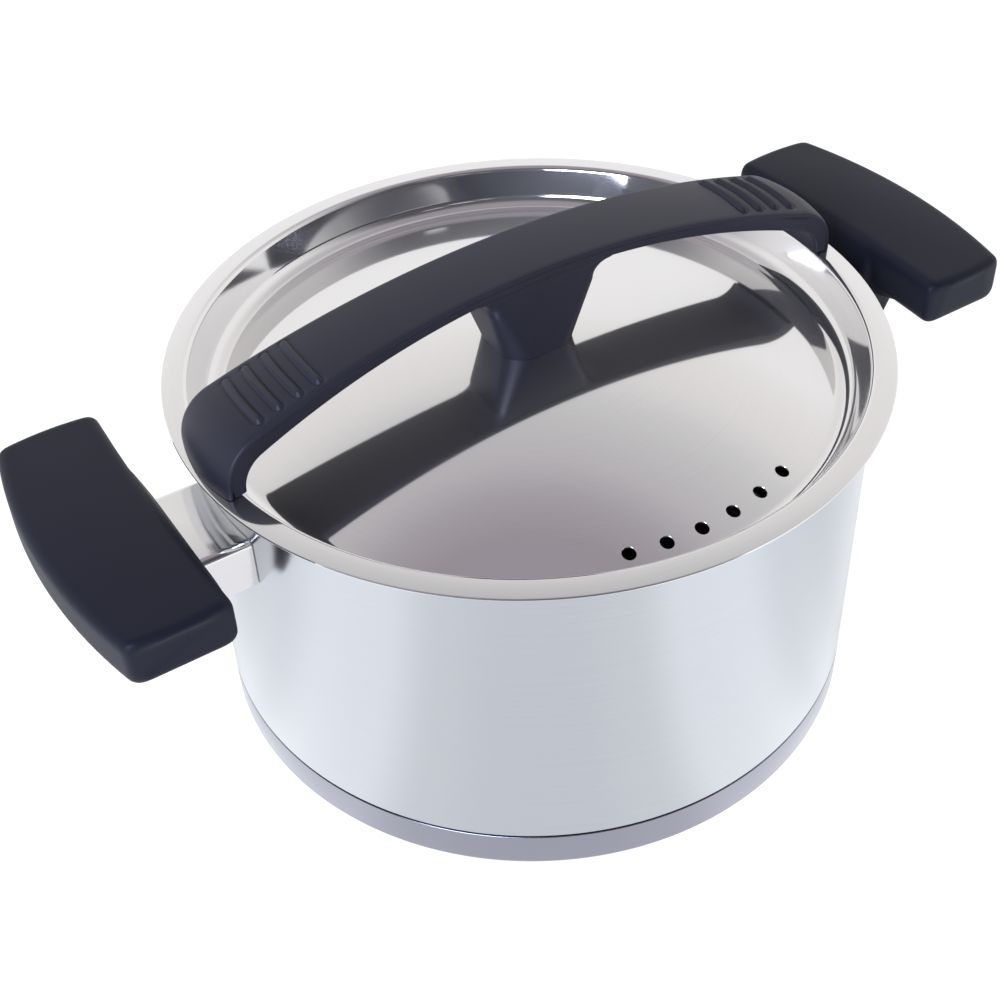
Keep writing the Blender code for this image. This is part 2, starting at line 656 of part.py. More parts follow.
def make_neck(prefix, side):
    """Collar around the bracket, with its face leaning back from its foot up to the bar's top."""
    half_rise = NECK_FILLET_RISE / 2
    levels = [NECK_BOTTOM, GRIP_BOTTOM - NECK_FILLET_RISE, GRIP_BOTTOM - half_rise]
    levels += [GRIP_BOTTOM + (NECK_TOP - GRIP_BOTTOM) * share for share in (0.0, 0.2, 0.5, 0.75, 0.9, 1.0)]
    rings = []
    for z in levels:
        half_plan = neck_ring(z)
        plan = half_plan + [(x, -y) for x, y in half_plan[::-1]]
        rings.append([(side * x, y, z) for x, y in plan])
    return loft("add_neck_" + prefix, rings, None)


def make_fasteners(prefix, side, seat, steel, brass):
    centre = (side * SCREW_X, 0.0)
    boss_top = BRACKET_TOP - BRACKET_SHEET - GAP
    tube(prefix + "_boss", centre, BRACKET_BOTTOM, boss_top, GRIP_SCREW_RADIUS + GAP, BOSS_RADIUS, steel)
    washer_top = seat - GAP
    tube(prefix + "_grip_washer", centre, washer_top - GRIP_WASHER_THICKNESS, washer_top,
         GRIP_SCREW_RADIUS + GAP, GRIP_WASHER_RADIUS, steel)
    head_top = washer_top - GRIP_WASHER_THICKNESS - GAP / 2
    screw(prefix + "_grip_screw", centre, head_top, boss_top - GAP, steel,
          GRIP_SCREW_RADIUS, GRIP_SCREW_HEAD_RADIUS, GRIP_SCREW_HEAD_HEIGHT)


def main():
    clear_scene()
    mirror = make_material("polished_steel", (0.86, 0.87, 0.88), 0.05, 1.0)
    steel = make_material("brushed_steel", (0.74, 0.76, 0.79), 0.22, 1.0)
    satin = make_material("satin_steel", (0.68, 0.69, 0.71), 0.35, 1.0)
    aluminium = make_material("aluminium", (0.80, 0.80, 0.82), 0.45, 1.0)
    brass = make_material("brass", (0.78, 0.60, 0.28), 0.35, 1.0)
    plastic = make_material("soft_plastic", (0.045, 0.045, 0.058), 0.55, 0.0)

    make_pot(steel, satin, aluminium)
    make_lid(mirror, steel, brass)
    make_strap(plastic)
    for prefix, side in (("left", -1), ("right", 1)):
        make_bracket(prefix, side, steel)
        seat = make_grip(prefix, side, plastic)
        make_fasteners(prefix, side, seat, steel, brass)


main()
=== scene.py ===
"""Finished look of a lidded steel casserole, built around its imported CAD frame.

The origin is the middle of the base, +Z is up and the two side grips lie on the X axis.
Sizes are in millimetres, as in the CAD source; meshes are made in metres.
"""

import json
import math

import bmesh
import bpy
from mathutils import Matrix, Vector


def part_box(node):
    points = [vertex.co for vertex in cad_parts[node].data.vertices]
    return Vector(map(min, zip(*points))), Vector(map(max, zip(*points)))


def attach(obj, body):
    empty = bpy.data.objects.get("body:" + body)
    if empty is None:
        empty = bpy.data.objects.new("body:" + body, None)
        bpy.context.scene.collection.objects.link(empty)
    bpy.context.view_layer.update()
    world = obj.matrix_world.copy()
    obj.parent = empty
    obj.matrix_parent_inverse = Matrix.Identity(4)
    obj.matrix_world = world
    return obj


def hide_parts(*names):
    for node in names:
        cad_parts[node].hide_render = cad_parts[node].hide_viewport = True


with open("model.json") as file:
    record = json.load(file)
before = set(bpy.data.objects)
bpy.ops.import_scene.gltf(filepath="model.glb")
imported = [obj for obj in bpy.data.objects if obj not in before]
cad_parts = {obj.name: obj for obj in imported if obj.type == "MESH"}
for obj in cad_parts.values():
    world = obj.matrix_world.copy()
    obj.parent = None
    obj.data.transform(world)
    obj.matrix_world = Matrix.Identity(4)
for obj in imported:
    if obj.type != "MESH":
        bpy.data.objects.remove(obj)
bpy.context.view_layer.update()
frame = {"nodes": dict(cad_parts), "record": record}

MM = 0.001
GAP = 0.3                    # clearance kept between pieces that touch
RING_STEPS = 288
SMOOTH_ANGLE = math.radians(30)


def top_of(node):
    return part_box(node)[1].z / MM


def bottom_of(node):
    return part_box(node)[0].z / MM


def reach_of(node):
    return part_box(node)[1].x / MM


# Pot, with its driving sizes from the frame
POT_RADIUS = reach_of("base_capsule")
RIM_HEIGHT = top_of("pot_body")
POT_WALL = 1.0
RIM_REACH = reach_of("pot_body") - POT_RADIUS
RIM_RISE = 5.5
FLOOR_CORNER = 8.0
CAPSULE_HEIGHT = top_of("base_capsule")
CAPSULE_WALL = 0.8
CAPSULE_CORNER = 2.5
EDGE_ROUND = 0.35            # broken edge on sheet metal
FLOOR_UNDERSIDE = bottom_of("pot_body")
GROOVE_EXTRA = 0.3           # finished groove over the capsule, opened by this above and below

# Lid
LID_RADIUS = reach_of("lid_shell")
LID_SHEET = 1.0
LID_DOME_RISE = 3.6
LID_LEVEL = top_of("lid_shell") - LID_DOME_RISE
LID_TROUGH_DEPTH = 14.5
LID_TROUGH_RADIUS = POT_RADIUS - 8.1
LID_TROUGH_ROUND = 6.0
LID_SHOULDER_RADIUS = POT_RADIUS - 1.9
LID_SHOULDER_RISE = 1.0
LID_SHOULDER_ROUND = 2.5
LID_DOME_SAG = LID_DOME_RISE + LID_TROUGH_DEPTH
LID_DOME_RADIUS = (LID_TROUGH_RADIUS ** 2 + LID_DOME_SAG ** 2) / (2 * LID_DOME_SAG)
LID_BORE = 2.3
RIM_FALL_DEG = (1.0, 6.5)    # fall of the rim, just past the shoulder and at its edge
RIM_FALL_START = 1.0         # where that fall starts, outwards from the shoulder
HOLE_COUNT = 6
HOLE_DIAMETER = 4.8
HOLE_CIRCLE_RADIUS = LID_TROUGH_RADIUS - 10.8
HOLE_PITCH_DEG = 7.3
HOLE_MIDDLE_DEG = -87.3
HOLE_STEPS = 40
DOME_RINGS = 26

# Strap handle
STRAP_END_X = reach_of("strap_cover")
STRAP_FOOT = bottom_of("strap_cover")
STRAP_CREST = STRAP_FOOT + 36.8
STRAP_DROP = 16.7
STRAP_END_ROUND = 18.0
STRAP_MIDDLE_DEPTH = 4.75
STRAP_UNDER_ROUND = 11.0
STRAP_UNDER_STRAIGHT = 0.5
STRAP_END_DEPTH = 8.0
STRAP_HALF_WIDTH = 14.0
STRAP_WIDENING = 3.8
STRAP_COVER_DEPTH = 2.9
STRAP_SKIN = 1.2
STRAP_SIDE_SKIN = 2.0
STRAP_EDGE = 1.0
STRAP_ARCH_STEPS = 260
STRAP_ROUND_STEPS = 16
STRAP_ACROSS_STEPS = 60
SEAM_GAP = 0.02              # joint line between cover and body, closed by the moulding's flash
CREASE_DEPTH = 0.3           # soft groove under the cover's top edge
CREASE_FADE_X = 78.0         # it dies away about this distance from the middle
CREASE_FADE = 14.0
CREASE_PITCH = 0.15
CREASE_PROFILE = [(6, 0.0), (5, 0.3), (4, 0.8), (3, 1.0), (2, 0.8), (1, 0.3)]   # pitches down, share of depth
FOOT_SLOPE = 1.3             # fall of the strap's foot, which follows the lid's shoulder
COVER_CROWN = 0.5
COVER_END_CROWN = 0.9
COVER_ROUND = 1.1
RIB_END_INSET = 18.1
RIB_PITCH = 7.3
RIB_COUNT = 4
RIB_HALF_LENGTH = 13.4
RIB_WIDTH = 3.2
RIB_HEIGHT = 1.2
RIB_FULLNESS = 1.1           # power on the rib's cosine section
RIB_MOAT = 0.35              # shallow channel round each rib
RIB_MOAT_REACH = 1.8         # its outer edge, in half widths of the rib
POST_HALF_LENGTH = 14.0
POST_TOP_HALF_LENGTH = 21.0
POST_FLARE_RISE = 7.0
POST_FLARE_REACH = 9.0
POST_SIDE_INSET = 0.4
POST_SINK = 0.1
POST_CLEARANCE = 0.06        # finished joint between post and dome, closer than the frame's
POST_CORNER = 9.0
POST_TOP_CORNER = 5.0

# Brackets and grips
BRACKET_TOP = top_of("left_bracket")
BRACKET_BOTTOM = bottom_of("left_bracket")
BRACKET_HALF_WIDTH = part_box("left_bracket")[1].y / MM
BRACKET_SHEET = 2.0
BRACKET_ROUND = 2.6
BRACKET_END = reach_of("right_bracket")
GRIP_INNER = POT_RADIUS + 20.6
GRIP_INNER_BOW = 1.5
GRIP_DEPTH = 33.8
GRIP_BULGE = reach_of("right_grip") - GRIP_INNER - GRIP_DEPTH
GRIP_HALF_LENGTH = 55.0
GRIP_END_BOW = 1.5
GRIP_TOP = RIM_HEIGHT - 1.9
GRIP_THICKNESS = 17.5
GRIP_CROWN = 1.5
GRIP_ROUND = 3.6
GRIP_END_ROUND = 2.5
GRIP_BOTTOM = GRIP_TOP - GRIP_THICKNESS
NECK_HALF_WIDTH = BRACKET_HALF_WIDTH + 3.3
NECK_BOTTOM = bottom_of("left_grip")
NECK_FACE = POT_RADIUS + 9.6
NECK_BACK = BRACKET_END + 3.6
NECK_BACK_SLOPE = 10.5
NECK_FACE_CURVE = 1.3        # finished face leans almost evenly, inside the frame's fuller one
NECK_FILLET = 13.0
NECK_FILLET_RISE = 5.0
NECK_CORNER = 2.0
NECK_TOP = GRIP_TOP - GRIP_ROUND / 2
GRIP_STEPS = 24
GRIP_TOP_STEPS = 9
GRIP_VOXEL = 0.8
GRIP_SMOOTHING = 9
GRIP_SHARP_ANGLE = math.radians(45)
SCREW_X = (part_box("right_boss")[0].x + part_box("right_boss")[1].x) / 2 / MM
SCREW_CLEAR = 2.3
WASHER_CLEAR = 5.1
WASHER_SEAT = top_of("left_grip_washer") + GAP

# Unevenness of the polished steel's roughness
STEEL_CLOUD = 0.04

# Camera, and the compass angle of its side of the studio
CAMERA_LENS = 57.5
CAMERA_PLACE = (-0.2449, -0.3844, 0.4689)
CAMERA_FORWARD = (0.38529, 0.64120, -0.66364)
CAMERA_ROLL = -2.65
CAMERA_AZIMUTH = -32.5

# Floor: its own tone, and its glow by direction from the far side (0) round to the camera (1)
FLOOR_REACH = 3000.0
FLOOR_DROP = 0.2
FLOOR_TONE = 0.2
FLOOR_GLOW = [
    (0.0, (0.94, 0.95, 0.96)), (0.30, (0.93, 0.95, 0.96)), (0.52, (0.93, 0.95, 0.96)),
    (0.68, (1.06, 1.08, 1.10)), (0.80, (1.28, 1.30, 1.31)), (0.90, (1.26, 1.27, 1.28)),
    (0.965, (0.99, 0.995, 1.0)), (1.0, (0.92, 0.92, 0.93)),
]

# Studio walls: colour by height, from the horizon (0) to overhead (1)
BACK_WALL = [
    (0.0, (1.0, 1.0, 1.02)), (0.15, (1.08, 1.08, 1.09)), (0.33, (1.08, 1.08, 1.08)),
    (0.40, (1.0, 0.99, 0.98)), (0.48, (0.92, 0.91, 0.90)), (0.54, (0.77, 0.77, 0.78)),
    (0.60, (0.68, 0.68, 0.69)), (0.667, (0.61, 0.59, 0.62)), (0.73, (0.47, 0.445, 0.48)),
    (0.80, (0.39, 0.35, 0.39)), (0.87, (0.39, 0.355, 0.405)), (1.0, (0.42, 0.39, 0.44)),
]
FRONT_WALL = [
    (0.0, (0.30, 0.30, 0.32)), (0.03, (0.06, 0.06, 0.075)), (0.14, (0.10, 0.10, 0.12)),
    (0.30, (0.09, 0.09, 0.10)), (0.55, (0.08, 0.08, 0.09)), (0.68, (0.15, 0.14, 0.16)),
    (0.78, (0.34, 0.31, 0.35)), (1.0, (0.42, 0.39, 0.44)),
]

# Light strips in the dark front: place across it, half width, lowest, highest, brightness
STRIPS = [
    (0.80, 0.16, 0.095, 0.108, 1.0),
    (0.78, 0.12, 0.170, 0.180, 0.7),
    (0.70, 0.05, 0.42, 0.45, 1.0),
    (0.80, 0.04, 0.50, 0.53, 0.8),
    (0.62, 0.03, 0.38, 0.40, 0.8),
]
STRIP_EDGE = 0.01


# ---------------------------------------------------------------- mesh tools

def finish(name, bm):
    """Close a bmesh in millimetres into a named object in metres."""
    bmesh.ops.recalc_face_normals(bm, faces=bm.faces)
    bmesh.ops.scale(bm, vec=(MM, MM, MM), verts=bm.verts)
    mesh = bpy.data.meshes.new(name)
    bm.to_mesh(mesh)
    bm.free()
    mesh.shade_smooth()
    mesh.set_sharp_from_angle(angle=SMOOTH_ANGLE)
    obj = bpy.data.objects.new(name, mesh)
    bpy.context.scene.collection.objects.link(obj)
    return obj


def turned(name, profile, steps=RING_STEPS, centre=(0.0, 0.0)):
    """Turn a closed (radius, z) outline about a vertical axis; points at radius 0 become poles."""
    bm = bmesh.new()
    rings = []
    turns = [2 * math.pi * step / steps for step in range(steps)]
    for radius, z in profile:
        if radius <= 0.0:
            rings.append([bm.verts.new((centre[0], centre[1], z))])
            continue
        rings.append([
            bm.verts.new((centre[0] + radius * math.cos(a), centre[1] + radius * math.sin(a), z))
            for a in turns
        ])
    for here, there in zip(rings, rings[1:] + rings[:1]):
        if len(here) == 1 and len(there) == 1:
            continue
        for step in range(steps):
            after = (step + 1) % steps
            corners = [here[step % len(here)], here[after % len(here)]]
            corners += [there[after % len(there)], there[step % len(there)]]
            bm.faces.new(list(dict.fromkeys(corners)))
    return finish(name, bm)


def loft(name, rings):
    """Skin a row of rings that have equal point counts and cap both ends."""
    bm = bmesh.new()
    rows = [[bm.verts.new(point) for point in ring] for ring in rings]
    for here, there in zip(rows, rows[1:]):
        for index in range(len(here)):
            after = (index + 1) % len(here)
            bm.faces.new((here[index], here[after], there[after], there[index]))
    caps = [bm.faces.new(rows[0]), bm.faces.new(rows[-1])]
    bmesh.ops.triangulate(bm, faces=caps)
    return finish(name, bm)


def rounded_path(corners, steps=8):
    """Follow (x, y, round) corners, replacing each corner that has a round with an arc."""
    points = []
    for index, (x, y, round_radius) in enumerate(corners):
        here = Vector((x, y))
        if round_radius <= 0.0:
            points.append((x, y))
            continue
        before = Vector(corners[index - 1][:2]) - here
        after = Vector(corners[(index + 1) % len(corners)][:2]) - here
        half_angle = before.angle(after) / 2
        towards = (before.normalized() + after.normalized()).normalized()
        centre = here + towards * (round_radius / math.sin(half_angle))
        setback = round_radius / math.tan(half_angle)
        start = here + before.normalized() * setback - centre
        end = here + after.normalized() * setback - centre
        sweep = start.angle_signed(end)
        for step in range(steps + 1):
            turn = -sweep * step / steps
            c, s = math.cos(turn), math.sin(turn)
            points.append((
                centre.x + start.x * c - start.y * s,
                centre.y + start.x * s + start.y * c,
            ))
    return points


def rounded_rectangle(left, right, bottom, top, round_radius, steps=6):
    corners = [(left, bottom), (right, bottom), (right, top), (left, top)]
    return rounded_path([(x, y, round_radius) for x, y in corners], steps)


def block(name, left, right, back, front, bottom, top):
    ring = [(left, back), (right, back), (right, front), (left, front)]
    return loft(name, [[(x, y, z) for x, y in ring] for z in (bottom, top)])


def bake_modifiers(obj):
    """Replace an object's mesh by the result of its modifiers."""
    evaluated = obj.evaluated_get(bpy.context.evaluated_depsgraph_get())
    mesh = bpy.data.meshes.new_from_object(evaluated)
    obj.modifiers.clear()
    obj.data = mesh
    return obj


def combine(target, operation, others):
    """Boolean `target` with each object of a list, then remove them."""
    for other in others:
        modifier = target.modifiers.new(operation.lower(), "BOOLEAN")
        modifier.operation = operation
        modifier.solver = "EXACT"
        modifier.object = other
    bake_modifiers(target)
    for other in others:
        bpy.data.objects.remove(other, do_unlink=True)
    return target


def set_material(obj, material):
    obj.data.materials.clear()
    obj.data.materials.append(material)


def smooth_step(low, high, value):
    share = min(1.0, max(0.0, (value - low) / (high - low)))
    return share * share * (3 - 2 * share)


# ---------------------------------------------------------------- node tools

class Nodes:
    """Short way to build one material's or world's node tree."""

    def __init__(self, tree):
        self.tree = tree

    def add(self, kind, **settings):
        node = self.tree.nodes.new(kind)
        for name, value in settings.items():
            setattr(node, name, value)
        return node

    def link(self, source, target):
        self.tree.links.new(source, target)

    def math(self, operation, first, second=0.0, third=0.0):
        node = self.add("ShaderNodeMath", operation=operation)
        for index, value in enumerate((first, second, third)):
            if isinstance(value, (int, float)):
                node.inputs[index].default_value = value
            else:
                self.link(value, node.inputs[index])
        return node.outputs[0]

    def length(self, x, y):
        squares = self.math("ADD", self.math("MULTIPLY", x, x), self.math("MULTIPLY", y, y))
        return self.math("SQRT", squares)

    def ramp(self, factor, stops, interpolation="LINEAR"):
        """Colour ramp with (place, colour) stops; a number stands for a grey."""
        node = self.add("ShaderNodeValToRGB")
        ramp = node.color_ramp
        ramp.interpolation = interpolation
        while len(ramp.elements) < len(stops):
            ramp.elements.new(0.5)
        for element, (place, color) in zip(ramp.elements, stops):
            element.position = place
            rgb = (color,) * 3 if isinstance(color, (int, float)) else color
            element.color = (*rgb, 1.0)
        self.link(factor, node.inputs["Fac"])
        return node.outputs["Color"]

    def noise(self, vector, scale, detail, roughness):
        node = self.add("ShaderNodeTexNoise")
        node.inputs["Scale"].default_value = scale
        node.inputs["Detail"].default_value = detail
        node.inputs["Roughness"].default_value = roughness
        self.link(vector, node.inputs["Vector"])
        return node.outputs["Fac"]

    def mix(self, factor, first, second):
        node = self.add("ShaderNodeMix", data_type="RGBA")
        for index, value in ((0, factor), (6, first), (7, second)):
            if isinstance(value, tuple):
                node.inputs[index].default_value = (*value, 1.0)
            else:
                self.link(value, node.inputs[index])
        return node.outputs[2]


def new_material(name, color, roughness, metallic):
    material = bpy.data.materials.new(name)
    material.use_nodes = True
    shader = material.node_tree.nodes["Principled BSDF"]
    shader.inputs["Base Color"].default_value = (*color, 1.0)
    shader.inputs["Roughness"].default_value = roughness
    shader.inputs["Metallic"].default_value = metallic
    material.diffuse_color = (*color, 1.0)
    return material, Nodes(material.node_tree), shader


def bump_into(nodes, shader, height, strength, distance):
    bump = nodes.add("ShaderNodeBump")
    bump.inputs["Strength"].default_value = strength
    bump.inputs["Distance"].default_value = distance
    nodes.link(height, bump.inputs["Height"])
    nodes.link(bump.outputs["Normal"], shader.inputs["Normal"])


def turned_coordinates(nodes):
    """(radius, angle, height) of a shading point about the vertical axis, as separate sockets."""
    position = nodes.add("ShaderNodeTexCoord").outputs["Object"]
    split = nodes.add("ShaderNodeSeparateXYZ")
    nodes.link(position, split.inputs[0])
    x, y, z = split.outputs
    return position, nodes.length(x, y), nodes.math("ARCTAN2", y, x), z


def polished_lines(nodes, across, angle, pitch):
    """Fine turning marks: long around the axis and `pitch` metres wide across it."""
    vector = nodes.add("ShaderNodeCombineXYZ")
    nodes.link(nodes.math("MULTIPLY", across, 1 / pitch), vector.inputs[0])
    nodes.link(nodes.math("MULTIPLY", nodes.math("SINE", angle), 1.5), vector.inputs[1])
    nodes.link(nodes.math("MULTIPLY", nodes.math("COSINE", angle), 1.5), vector.inputs[2])
    return nodes.noise(vector.outputs[0], 1.0, 2.0, 0.6)


def steel(name, color, roughness, along, pitch, line_strength, haze=0.0):
    """Polished stainless steel: turning marks, faint cloudiness and a haze from its polishing."""
    material, nodes, shader = new_material(name, color, roughness, 1.0)
    position, radius, angle, z = turned_coordinates(nodes)
    lines = polished_lines(nodes, radius if along == "radius" else z, angle, pitch)
    clouds = nodes.noise(position, 28.0, 3.0, 0.55)
    gloss = nodes.math("MULTIPLY_ADD", clouds, STEEL_CLOUD, roughness - STEEL_CLOUD / 2)
    gloss = nodes.math("MULTIPLY_ADD", lines, STEEL_CLOUD / 2, gloss)
    nodes.link(gloss, shader.inputs["Roughness"])
    tone = nodes.ramp(lines, [(0.3, tuple(c * 0.975 for c in color)), (0.7, color)])
    nodes.link(tone, shader.inputs["Base Color"])
    bump_into(nodes, shader, lines, line_strength, 0.00002)
    shader.inputs["Coat Weight"].default_value = haze
    shader.inputs["Coat Roughness"].default_value = 0.5
    shader.inputs["Coat IOR"].default_value = 1.75
    return material


def plain_metal(name, color, roughness, grain):
    """Small metal piece with a fine even grain."""
    material, nodes, shader = new_material(name, color, roughness, 1.0)
    position = nodes.add("ShaderNodeTexCoord").outputs["Object"]
    speckle = nodes.noise(position, grain, 3.0, 0.6)
    tone = nodes.ramp(speckle, [(0.3, tuple(c * 0.88 for c in color)), (0.7, color)])
    nodes.link(tone, shader.inputs["Base Color"])
    nodes.link(nodes.math("MULTIPLY_ADD", speckle, 0.12, roughness - 0.06), shader.inputs["Roughness"])
    bump_into(nodes, shader, speckle, 0.15, 0.00005)
    return material


def moulded_plastic(name, color, roughness, specular):
    """Charcoal plastic with a fine spark-eroded grain and slightly uneven sheen."""
    material, nodes, shader = new_material(name, color, roughness, 0.0)
    position = nodes.add("ShaderNodeTexCoord").outputs["Object"]
    grain = nodes.noise(position, 2600.0, 2.0, 0.6)
    patches = nodes.noise(position, 45.0, 3.0, 0.55)
    tone = nodes.ramp(patches, [
        (0.3, tuple(c * 0.93 for c in color)), (0.7, tuple(c * 1.06 for c in color)),
    ])
    nodes.link(tone, shader.inputs["Base Color"])
    gloss = nodes.math("MULTIPLY_ADD", patches, 0.06, roughness - 0.03)
    gloss = nodes.math("MULTIPLY_ADD", grain, 0.05, gloss)
    nodes.link(gloss, shader.inputs["Roughness"])
    bump_into(nodes, shader, grain, 0.22, 0.00006)
    shader.inputs["Specular IOR Level"].default_value = specular
    shader.inputs["Specular Tint"].default_value = (0.86, 0.86, 1.0, 1.0)
    return material


# ---------------------------------------------------------------- pot

def make_pot(material, capsule_steel_with_shade, groove_shade_material):
    inner = POT_RADIUS - POT_WALL
    lap = POT_RADIUS - CAPSULE_WALL - GAP
    lap_inner = lap - POT_WALL
    floor_inside = FLOOR_UNDERSIDE + POT_WALL
    flare_start = RIM_HEIGHT - RIM_RISE
    ledge = CAPSULE_HEIGHT + GAP + GROOVE_EXTRA
    outline = rounded_path([
        (0.0, FLOOR_UNDERSIDE, 0.0),
        (lap, FLOOR_UNDERSIDE, FLOOR_CORNER),
        (lap, ledge, 0.0),
        (POT_RADIUS, ledge, EDGE_ROUND),
        (POT_RADIUS, flare_start, RIM_RISE),
        (POT_RADIUS + RIM_REACH, RIM_HEIGHT - POT_WALL, EDGE_ROUND),
        (POT_RADIUS + RIM_REACH - POT_WALL, RIM_HEIGHT, EDGE_ROUND),
        (inner, flare_start + POT_WALL / 2, RIM_RISE),
        (inner, ledge + 2 * POT_WALL, 0.0),
        (lap_inner, ledge, 0.0),
        (lap_inner, floor_inside, FLOOR_CORNER - POT_WALL),
        (0.0, floor_inside, 0.0),
    ])
    body = turned("pot_body_polished", outline)
    body.data.materials.append(material)
    body.data.materials.append(groove_shade_material)
    # The lap wall that shows in the groove over the capsule takes the near-black second material: painted
    # shade in the groove.
    for face in body.data.polygons:
        outside = face.center.to_2d().length > (lap - POT_WALL / 2) * MM
        if outside and face.center.z < (ledge - EDGE_ROUND / 4) * MM:
            face.material_index = 1
    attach(body, "pot")
    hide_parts("pot_body")

    inside = POT_RADIUS - CAPSULE_WALL
    outline = rounded_path([
        (0.0, 0.0, 0.0),
        (POT_RADIUS, 0.0, CAPSULE_CORNER),
        (POT_RADIUS, CAPSULE_HEIGHT - GROOVE_EXTRA, EDGE_ROUND),
        (inside, CAPSULE_HEIGHT - GROOVE_EXTRA, 0.0),
        (inside, CAPSULE_WALL, CAPSULE_CORNER - CAPSULE_WALL),
        (0.0, CAPSULE_WALL, 0.0),
    ])
    # The capsule's steel is darker than the body's: painted shade near the pot's foot.
    capsule = turned("base_capsule_polished", outline)
    capsule.data.materials.append(capsule_steel_with_shade)
    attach(capsule, "pot")
    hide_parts("base_capsule")


# ---------------------------------------------------------------- lid

def dome_height(radius):
    """Height of the dome's upper face above the lid's outer edge."""
    return LID_DOME_RISE - LID_DOME_RADIUS + math.sqrt(LID_DOME_RADIUS ** 2 - radius ** 2)


def lid_face(offset):
    """Points of the lid's upper face, or of a face `offset` below it, from the bore to the edge."""
    dome_end = LID_TROUGH_RADIUS - LID_TROUGH_ROUND
    dome = [LID_BORE + (dome_end - LID_BORE) * ring / DOME_RINGS for ring in range(DOME_RINGS)]
    points = [(radius, dome_height(radius) - offset) for radius in dome]
    outwards = offset * math.sqrt(0.5)
    trough = (LID_TROUGH_RADIUS + outwards, dome_height(LID_TROUGH_RADIUS) - offset)
    shoulder = (LID_SHOULDER_RADIUS + outwards, LID_SHOULDER_RISE - offset)
    corners = [
        (dome_end, dome_height(dome_end) - offset, 0.0),
        (*trough, LID_TROUGH_ROUND - offset),
        (*shoulder, LID_SHOULDER_ROUND + offset),
        (LID_RADIUS - LID_SHEET / 2, -offset, 0.0),
    ]
    return points + rounded_path(corners, 14)


def dome_normals(obj):
    """Give the dome its exact normals, unmarked by the holes, and the rim its softly falling ones."""
    mesh = obj.data
    centre = Vector((0.0, 0.0, (LID_LEVEL + LID_DOME_RISE - LID_DOME_RADIUS) * MM))
    dome_end = (LID_TROUGH_RADIUS - LID_TROUGH_ROUND) * MM
    close_to_dome = 0.02 * MM
    rim_start = (LID_SHOULDER_RADIUS + RIM_FALL_START) * MM
    normals = [Vector(corner.vector) for corner in mesh.corner_normals]
    for face in mesh.polygons:
        out = (face.center - centre).normalized()
        if face.normal.dot(out) < 0.9:
            continue
        for loop in face.loop_indices:
            place = mesh.vertices[mesh.loops[loop].vertex_index].co
            away = place - centre
            on_dome = abs(away.length - LID_DOME_RADIUS * MM) < close_to_dome
            radius = place.to_2d().length
            if on_dome and radius < dome_end:
                normals[loop] = away.normalized()
            share = (radius - rim_start) / (LID_RADIUS * MM - rim_start)
            if 0 <= share < 0.97:
                fall = math.radians(RIM_FALL_DEG[0] + (RIM_FALL_DEG[1] - RIM_FALL_DEG[0]) * share)
                side = place.to_2d().normalized() * math.sin(fall)
                normals[loop] = Vector((side.x, side.y, math.cos(fall)))
    mesh.normals_split_custom_set(normals)


def make_lid(material):
    upper = lid_face(0.0)
    lower = lid_face(LID_SHEET)
    edge = [
        (LID_RADIUS - LID_SHEET / 6, -LID_SHEET / 8),
        (LID_RADIUS, -LID_SHEET / 2),
        (LID_RADIUS - LID_SHEET / 6, -LID_SHEET * 7 / 8),
    ]
    outline = [(radius, z + LID_LEVEL) for radius, z in upper + edge + lower[::-1]]
    shell = turned("lid_shell_polished", outline)

    low = LID_LEVEL - LID_TROUGH_DEPTH - 2 * LID_SHEET
    high = LID_LEVEL + LID_DOME_RISE
    radius = HOLE_DIAMETER / 2
    cutters = []
    for index in range(HOLE_COUNT):
        angle = math.radians(HOLE_MIDDLE_DEG + (index - (HOLE_COUNT - 1) / 2) * HOLE_PITCH_DEG)
        centre = (HOLE_CIRCLE_RADIUS * math.cos(angle), HOLE_CIRCLE_RADIUS * math.sin(angle))
        outline = [(0.0, low), (radius, low), (radius, high), (0.0, high)]
        cutters.append(turned(f"cut_hole_{index}", outline, HOLE_STEPS, centre))
    combine(shell, "DIFFERENCE", cutters)
    dome_normals(shell)
    set_material(shell, material)
    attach(shell, "lid")
    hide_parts("lid_shell")


# ---------------------------------------------------------------- strap handle

def arch_side(crest, drop, round_radius, end_x):
    """Half of an arch in the XZ plane: a wide arc that falls by `drop`, a round and a short foot."""
    round_x = end_x - round_radius
    inside_radius = (round_x ** 2 + drop ** 2) / (2 * drop)
    radius = inside_radius + round_radius
    middle = crest - radius
    round_z = crest - round_radius - drop
    last = math.asin(round_x / inside_radius)
    points = []
    for step in range(STRAP_ARCH_STEPS + 1):
        turn = last * (step / STRAP_ARCH_STEPS)
        points.append((radius * math.sin(turn), middle + radius * math.cos(turn)))
    for step in range(1, STRAP_ROUND_STEPS + 1):
        turn = last + (math.pi / 2 - last) * step / STRAP_ROUND_STEPS
        points.append((round_x + round_radius * math.sin(turn), round_z + round_radius * math.cos(turn)))
    points.append((end_x, STRAP_FOOT))
    return points


def strap_half_width(x):
    return STRAP_HALF_WIDTH + STRAP_WIDENING * (x / STRAP_END_X) ** 2


def strap_stations():
    """Pairs of outer and inner points along the strap, from the -X end to the +X end."""
    under_crest = STRAP_CREST - STRAP_MIDDLE_DEPTH
    under_drop = under_crest - STRAP_UNDER_ROUND - STRAP_UNDER_STRAIGHT - STRAP_FOOT
    outer = arch_side(STRAP_CREST, STRAP_DROP, STRAP_END_ROUND, STRAP_END_X)
    inner = arch_side(under_crest, under_drop, STRAP_UNDER_ROUND, STRAP_END_X - STRAP_END_DEPTH)
    pairs = list(zip(outer, inner))
    mirrored = [((-a[0], a[1]), (-b[0], b[1])) for a, b in pairs[:0:-1]]
    return mirrored + pairs


